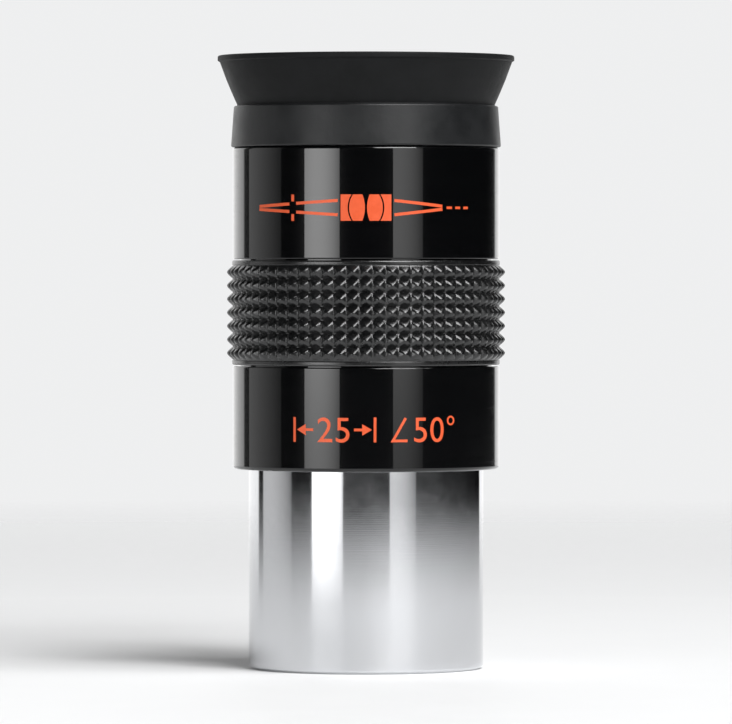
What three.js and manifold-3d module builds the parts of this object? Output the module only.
// A 25 mm eyepiece of the symmetrical two-doublet kind for 31.75 mm (1.25 inch) focusers.
// Millimetres. +Z is the optical axis, pointing at the observer's eye; the origin is the centre
// of the insertion barrel's end face, so the eyepiece stands on the plane Z = 0.

import * as THREE from 'three';
import { mergeVertices } from 'three/addons/utils/BufferGeometryUtils.js';
import Module from 'manifold-3d';

const wasm = await Module();
wasm.setup();

// ---- driving dimensions -------------------------------------------------------------------

// heights of the main breaks along the optical axis
const SHOULDER_Z = 27.0;
const GRIP_LOW_Z = 40.9;
const GRIP_HIGH_Z = 55.3;
const BODY_TOP_Z = 70.4;
const BAND_TOP_Z = 76.0;
const RIM_Z = 82.8;

// body
const BODY_R = 18.0;
const BODY_EDGE = 0.4;
const GROOVE_R = 17.0;
const NECK_GROOVE_R = 15.35;
const NECK_BEAD_R = 15.95;
const NECK_BEAD_Z = 73.2;
const NECK_TOP_Z = 74.4;
const SEAT_R = 15.95;
const SEAT_TOP_Z = 27.5;
const SOCKET_R = 15.1;
const SOCKET_TOP_Z = 35.4;
const LIGHT_BORE_R = 13.4;
const LEDGE_R = 12.3;
const LEDGE_LOW_Z = 44.8;
const LEDGE_TOP_Z = 47.0;
const CELL_BORE_R = 13.9;

// grip
const GRIP_TEETH = 66;
const GRIP_ROWS = 7;
const GRIP_ROW_PITCH = 1.82;
const GRIP_TIP_R = 18.8;
const GRIP_VALLEY_R = 18.0;
const GRIP_RIM_R = 18.1;
const GRIP_END_GAP = 0.15;

// insertion barrel and its screwed neck
const BARREL_R = 15.85;
const BARREL_BORE_R = 14.45;
const FILTER_THREAD_R = 14.0;
const FILTER_THREAD_LOW_Z = 0.6;
const FILTER_THREAD_HIGH_Z = 4.6;
const BARREL_CHAMFER = 0.4;
const BARREL_NECK_R = 15.0;
const BARREL_NECK_TOP_Z = 34.6;
const BARREL_NECK_BORE_R = 14.1;
const BARREL_STEP_Z = 25.0;
const BARREL_STEP = 0.6;

// lenses: two cemented pairs, crown against crown
const LENS_R = 12.0;
const LENS_BOTTOM_Z = 49.8;
const FLINT_CENTRE = 1.8;
const CROWN_CENTRE = 7.0;
const CEMENTED_CURVE = 24.0;
const INNER_CURVE = 32.0;
const LENS_AIR_GAP = 0.4;
const CEMENT = 0.03;

// lens mounting
const CELL_R = 13.7;
const CELL_INNER_R = 12.15;
const CELL_LIP_R = 11.3;
const CELL_LIP = 1.4;
const RETAINER_HEIGHT = 2.4;
const RETAINER_R = 12.0;
const RETAINER_INNER_R = 11.2;
const EYE_RING_R = 13.75;
const EYE_RING_INNER_R = 11.6;
const EYE_RING_MOUTH_R = 12.5;
const EYE_RING_HEIGHT = 3.0;

// field stop
const STOP_R = 14.0;
const STOP_APERTURE_R = 10.8;
const STOP_HEIGHT = 2.2;
const STOP_EDGE = 0.25;

// spanner slots of the screwed rings
const SLOT_WIDTH = 1.8;
const SLOT_DEPTH = 1.0;

// eyecup
const BAND_R = 18.25;
const BAND_TOP_R = 17.85;
const BAND_ROUND = 0.65;
const CUP_SHELF_R = 14.6;
const SKIRT_BASE_R = 17.45;
const RIM_R = 20.05;
const RIM_LIP = 0.8;
const RIM_STEP = 0.2;
const SKIRT_BASE_WALL = 1.3;
const RIM_WALL = 0.85;

// clearances
const REST = 0.05;
const EYECUP_FIT = 0.3;

// fineness of the round pieces
const OUTER_SEGMENTS = 48;
const INNER_SEGMENTS = 36;
const ARC_STEPS = 5;

// ---- shapes -------------------------------------------------------------------------------

// A body of revolution about Z. The profile is [radius, z] points, up the outside and down the
// inside; it either starts and ends on the axis or is closed by repeating its first point.
function turned(profile, segments) {
  const points = profile.map(([radius, z]) => new THREE.Vector2(radius, z));
  const onAxis = points[0].x === 0;
  if (!onAxis) {
    points.push(points[0].clone());
  }
  return new THREE.LatheGeometry(points, segments).rotateX(Math.PI / 2);
}

function solidOf(geometry) {
  const bare = geometry.clone();
  bare.deleteAttribute('normal');
  bare.deleteAttribute('uv');
  const merged = mergeVertices(bare, 1e-5);
  return new wasm.Manifold(new wasm.Mesh({
    numProp: 3,
    vertProperties: new Float32Array(merged.attributes.position.array),
    triVerts: new Uint32Array(merged.index.array),
  }));
}

function geometryOf(solid) {
  const mesh = solid.getMesh();
  const geometry = new THREE.BufferGeometry();
  geometry.setAttribute('position', new THREE.BufferAttribute(mesh.vertProperties, 3));
  geometry.setIndex(new THREE.BufferAttribute(mesh.triVerts, 1));
  return geometry;
}

// Cuts one slot right across a ring, so that it shows as two opposite spanner slots.
function withSpannerSlots(ring, middleZ, length) {
  const slot = new THREE.BoxGeometry(length, SLOT_WIDTH, 2 * SLOT_DEPTH).translate(0, 0, middleZ);
  return geometryOf(solidOf(ring).subtract(solidOf(slot)));
}

function sag(curve, radius) {
  return curve - Math.sqrt(curve * curve - radius * radius);
}

// A lens between two surfaces given as heights over the radius.
function lens(lower, upper) {
  const radii = Array.from({ length: ARC_STEPS + 1 }, (_, step) => (LENS_R * step) / ARC_STEPS);
  const below = radii.map((radius) => [radius, lower(radius)]);
  const above = radii.map((radius) => [radius, upper(radius)]).reverse();
  return turned([...below, ...above], INNER_SEGMENTS);
}

// A rubber sleeve whose outside is a square grid of four-sided points between two plain rims.
function knurledSleeve() {
  const low = GRIP_LOW_Z + GRIP_END_GAP;
  const high = GRIP_HIGH_Z - GRIP_END_GAP;
  const inner = GROOVE_R + REST;
  const knurl = GRIP_ROWS * GRIP_ROW_PITCH;
  const firstRow = (low + high - knurl) / 2;
  const step = (2 * Math.PI) / GRIP_TEETH;
  const rimChamfer = GRIP_RIM_R - GRIP_VALLEY_R;
  const positions = [];
  const index = [];

  function ring(radius, z, phase = 0) {
    const first = positions.length / 3;
    for (let tooth = 0; tooth < GRIP_TEETH; tooth += 1) {
      const angle = (tooth + phase) * step;
      positions.push(radius * Math.cos(angle), radius * Math.sin(angle), z);
    }
    return (tooth) => first + (tooth % GRIP_TEETH);
  }

  function wall(from, to) {
    for (let tooth = 0; tooth < GRIP_TEETH; tooth += 1) {
      index.push(from(tooth), from(tooth + 1), to(tooth + 1));
      index.push(from(tooth), to(tooth + 1), to(tooth));
    }
  }

  function pointedRow(from, to, tips) {
    for (let tooth = 0; tooth < GRIP_TEETH; tooth += 1) {
      index.push(from(tooth), from(tooth + 1), tips(tooth));
      index.push(from(tooth + 1), to(tooth + 1), tips(tooth));
      index.push(to(tooth + 1), to(tooth), tips(tooth));
      index.push(to(tooth), from(tooth), tips(tooth));
    }
  }

  const innerLow = ring(inner, low);
  const rimLow = ring(GRIP_RIM_R, low);
  const rimLowTop = ring(GRIP_RIM_R, firstRow - rimChamfer);
  let valley = ring(GRIP_VALLEY_R, firstRow);
  wall(innerLow, rimLow);
  wall(rimLow, rimLowTop);
  wall(rimLowTop, valley);
  for (let row = 0; row < GRIP_ROWS; row += 1) {
    const rowLow = firstRow + row * GRIP_ROW_PITCH;
    const tips = ring(GRIP_TIP_R, rowLow + GRIP_ROW_PITCH / 2, 0.5);
    const next = ring(GRIP_VALLEY_R, rowLow + GRIP_ROW_PITCH);
    pointedRow(valley, next, tips);
    valley = next;
  }
  const rimHighBottom = ring(GRIP_RIM_R, firstRow + knurl + rimChamfer);
  const rimHigh = ring(GRIP_RIM_R, high);
  const innerHigh = ring(inner, high);
  wall(valley, rimHighBottom);
  wall(rimHighBottom, rimHigh);
  wall(rimHigh, innerHigh);
  wall(innerHigh, innerLow);

  const geometry = new THREE.BufferGeometry();
  geometry.setAttribute('position', new THREE.Float32BufferAttribute(positions, 3));
  geometry.setIndex(index);
  return geometry;
}

// ---- pieces -------------------------------------------------------------------------------

// The turned aluminium body: grip groove outside, neck with a bead for the eyecup on top, a seat
// and a screwed socket for the barrel below, and the stepped bore that the lens cell stands in.
function bodyShell() {
  return turned([
    [SEAT_R, SHOULDER_Z],
    [BODY_R - BODY_EDGE, SHOULDER_Z],
    [BODY_R, SHOULDER_Z + BODY_EDGE],
    [BODY_R, GRIP_LOW_Z],
    [GROOVE_R, GRIP_LOW_Z],
    [GROOVE_R, GRIP_HIGH_Z],
    [BODY_R, GRIP_HIGH_Z],
    [BODY_R, BODY_TOP_Z - BODY_EDGE],
    [BODY_R - BODY_EDGE, BODY_TOP_Z],
    [NECK_GROOVE_R, BODY_TOP_Z],
    [NECK_GROOVE_R, NECK_BEAD_Z],
    [NECK_BEAD_R, NECK_BEAD_Z],
    [NECK_BEAD_R, NECK_TOP_Z],
    [CELL_BORE_R, NECK_TOP_Z],
    [CELL_BORE_R, LEDGE_TOP_Z],
    [LEDGE_R, LEDGE_TOP_Z],
    [LEDGE_R, LEDGE_LOW_Z],
    [LIGHT_BORE_R, LEDGE_LOW_Z],
    [LIGHT_BORE_R, SOCKET_TOP_Z],
    [SOCKET_R, SOCKET_TOP_Z],
    [SOCKET_R, SEAT_TOP_Z],
    [SEAT_R, SEAT_TOP_Z],
  ], OUTER_SEGMENTS);
}

// The plated barrel that slides into the focuser, with the filter thread just inside its mouth
// and a screwed neck that reaches up into the body.
function insertionBarrel() {
  const shoulder = SEAT_TOP_Z - REST;
  return turned([
    [BARREL_BORE_R, 0],
    [BARREL_R - BARREL_CHAMFER, 0],
    [BARREL_R, BARREL_CHAMFER],
    [BARREL_R, shoulder],
    [BARREL_NECK_R, shoulder],
    [BARREL_NECK_R, BARREL_NECK_TOP_Z],
    [BARREL_NECK_BORE_R, BARREL_NECK_TOP_Z],
    [BARREL_NECK_BORE_R, BARREL_STEP_Z],
    [BARREL_BORE_R, BARREL_STEP_Z - BARREL_STEP],
    [BARREL_BORE_R, FILTER_THREAD_HIGH_Z],
    [FILTER_THREAD_R, FILTER_THREAD_HIGH_Z],
    [FILTER_THREAD_R, FILTER_THREAD_LOW_Z],
  ], OUTER_SEGMENTS);
}

// The ring that sets the field of view, screwed into the top of the barrel's neck. Its aperture
// is a thin edge at the ring's top, and its slots face down the barrel.
function fieldStop() {
  const top = BARREL_NECK_TOP_Z - REST;
  const bottom = top - STOP_HEIGHT;
  const cone = STOP_HEIGHT - STOP_EDGE;
  const ring = turned([
    [STOP_APERTURE_R + cone, bottom],
    [STOP_R, bottom],
    [STOP_R, top],
    [STOP_APERTURE_R, top],
    [STOP_APERTURE_R, top - STOP_EDGE],
  ], INNER_SEGMENTS);
  return withSpannerSlots(ring, bottom, 4 * STOP_R);
}

const lensTopZ = LENS_BOTTOM_Z + 2 * (FLINT_CENTRE + CROWN_CENTRE) + LENS_AIR_GAP;
const fieldCementZ = LENS_BOTTOM_Z + FLINT_CENTRE;
const eyeCementZ = lensTopZ - FLINT_CENTRE;
const fieldInnerZ = fieldCementZ + CROWN_CENTRE;
const eyeInnerZ = eyeCementZ - CROWN_CENTRE;

function fieldFlint() {
  return lens(
    () => LENS_BOTTOM_Z,
    (radius) => fieldCementZ + sag(CEMENTED_CURVE, radius),
  );
}

function fieldCrown() {
  return lens(
    (radius) => fieldCementZ + CEMENT + sag(CEMENTED_CURVE, radius),
    (radius) => fieldInnerZ - sag(INNER_CURVE, radius),
  );
}

function eyeCrown() {
  return lens(
    (radius) => eyeInnerZ + sag(INNER_CURVE, radius),
    (radius) => eyeCementZ - CEMENT - sag(CEMENTED_CURVE, radius),
  );
}

function eyeFlint() {
  return lens(
    (radius) => eyeCementZ - sag(CEMENTED_CURVE, radius),
    () => lensTopZ,
  );
}

// The ring between the two crowns, which touches each one along its inner edge.
function lensSpacer() {
  const middle = (fieldInnerZ + eyeInnerZ) / 2;
  const half = LENS_AIR_GAP / 2 + sag(INNER_CURVE, RETAINER_INNER_R) - REST;
  return turned([
    [RETAINER_INNER_R, middle - half],
    [RETAINER_R, middle - half],
    [RETAINER_R, middle + half],
    [RETAINER_INNER_R, middle + half],
  ], INNER_SEGMENTS);
}

// The tube that holds the lenses, with a lip over the eye lens and a screwed lower end.
function lensCell() {
  const bottom = LEDGE_TOP_Z + REST;
  const lip = lensTopZ + REST;
  return turned([
    [CELL_INNER_R, bottom],
    [CELL_R, bottom],
    [CELL_R, lip + CELL_LIP],
    [EYE_RING_INNER_R, lip + CELL_LIP],
    [CELL_LIP_R, lip],
    [CELL_INNER_R, lip],
  ], INNER_SEGMENTS);
}

// The screwed ring that holds the lenses up against the cell's lip, slotted from below.
function lensRetainingRing() {
  const top = LENS_BOTTOM_Z - REST;
  const bottom = top - RETAINER_HEIGHT;
  const ring = turned([
    [RETAINER_INNER_R, bottom],
    [RETAINER_R, bottom],
    [RETAINER_R, top],
    [RETAINER_INNER_R, top],
  ], INNER_SEGMENTS);
  return withSpannerSlots(ring, bottom, 4 * RETAINER_R);
}

// The screwed ring at the eye end that holds the cell down in the body, slotted from above.
function eyeEndRing() {
  const bottom = lensTopZ + CELL_LIP + 2 * REST;
  const top = bottom + EYE_RING_HEIGHT;
  const ring = turned([
    [EYE_RING_INNER_R, bottom],
    [EYE_RING_R, bottom],
    [EYE_RING_R, top],
    [EYE_RING_MOUTH_R, top],
  ], INNER_SEGMENTS);
  return withSpannerSlots(ring, top, 4 * EYE_RING_R);
}

// The grasping half of the rubber eyecup: a band that snaps over the neck's bead.
function eyecupBand() {
  const low = BODY_TOP_Z + REST;
  const shelf = NECK_TOP_Z + EYECUP_FIT;
  const belowBead = NECK_BEAD_Z - EYECUP_FIT;
  const corner = BAND_ROUND * (1 - Math.SQRT1_2);
  return turned([
    [NECK_GROOVE_R + EYECUP_FIT, low],
    [BAND_R, low],
    [BAND_TOP_R, BAND_TOP_Z - BAND_ROUND],
    [BAND_TOP_R - corner, BAND_TOP_Z - corner],
    [BAND_TOP_R - BAND_ROUND, BAND_TOP_Z],
    [CUP_SHELF_R, BAND_TOP_Z],
    [CUP_SHELF_R, shelf],
    [NECK_BEAD_R + EYECUP_FIT, shelf],
    [NECK_BEAD_R + EYECUP_FIT, belowBead],
    [NECK_GROOVE_R + EYECUP_FIT, belowBead],
  ], OUTER_SEGMENTS);
}

// The flared half of the same piece of rubber, which folds down over the band.
function eyecupSkirt() {
  const low = BAND_TOP_Z + REST;
  const lip = RIM_Z - RIM_LIP;
  const coneTopR = RIM_R - RIM_STEP;
  return turned([
    [SKIRT_BASE_R - SKIRT_BASE_WALL, low],
    [SKIRT_BASE_R, low],
    [coneTopR, lip],
    [RIM_R, lip],
    [RIM_R, RIM_Z - REST],
    [RIM_R - REST, RIM_Z],
    [RIM_R - RIM_WALL, RIM_Z],
  ], OUTER_SEGMENTS);
}

// ---- assembly -----------------------------------------------------------------------------

const BLACK_GLOSS = { color: 0x08090b, roughness: 0.12, metalness: 0.1 };
const BLACK_MATT = { color: 0x0f1011, roughness: 0.75, metalness: 0.3 };
const RUBBER = { color: 0x222426, roughness: 0.7, metalness: 0.0 };
const CHROME = { color: 0xd8dadc, roughness: 0.12, metalness: 1.0 };
const CROWN_GLASS = { color: 0xdfe8e4, roughness: 0.03, metalness: 0.0 };
const FLINT_GLASS = { color: 0xe6e4d4, roughness: 0.03, metalness: 0.0 };

const PIECES = [
  ['body_shell', bodyShell, BLACK_GLOSS],
  ['grip_sleeve', knurledSleeve, RUBBER],
  ['eyecup_band', eyecupBand, RUBBER],
  ['eyecup_skirt', eyecupSkirt, RUBBER],
  ['eye_end_ring', eyeEndRing, BLACK_MATT],
  ['lens_cell', lensCell, BLACK_MATT],
  ['eye_flint_lens', eyeFlint, FLINT_GLASS],
  ['eye_crown_lens', eyeCrown, CROWN_GLASS],
  ['lens_spacer', lensSpacer, BLACK_MATT],
  ['field_crown_lens', fieldCrown, CROWN_GLASS],
  ['field_flint_lens', fieldFlint, FLINT_GLASS],
  ['lens_retaining_ring', lensRetainingRing, BLACK_MATT],
  ['field_stop', fieldStop, BLACK_MATT],
  ['insertion_barrel', insertionBarrel, CHROME],
];

const eyepiece = new THREE.Group();
for (const [name, shape, finish] of PIECES) {
  const mesh = new THREE.Mesh(shape(), new THREE.MeshStandardMaterial(finish));
  mesh.name = name;
  eyepiece.add(mesh);
}

export default eyepiece;
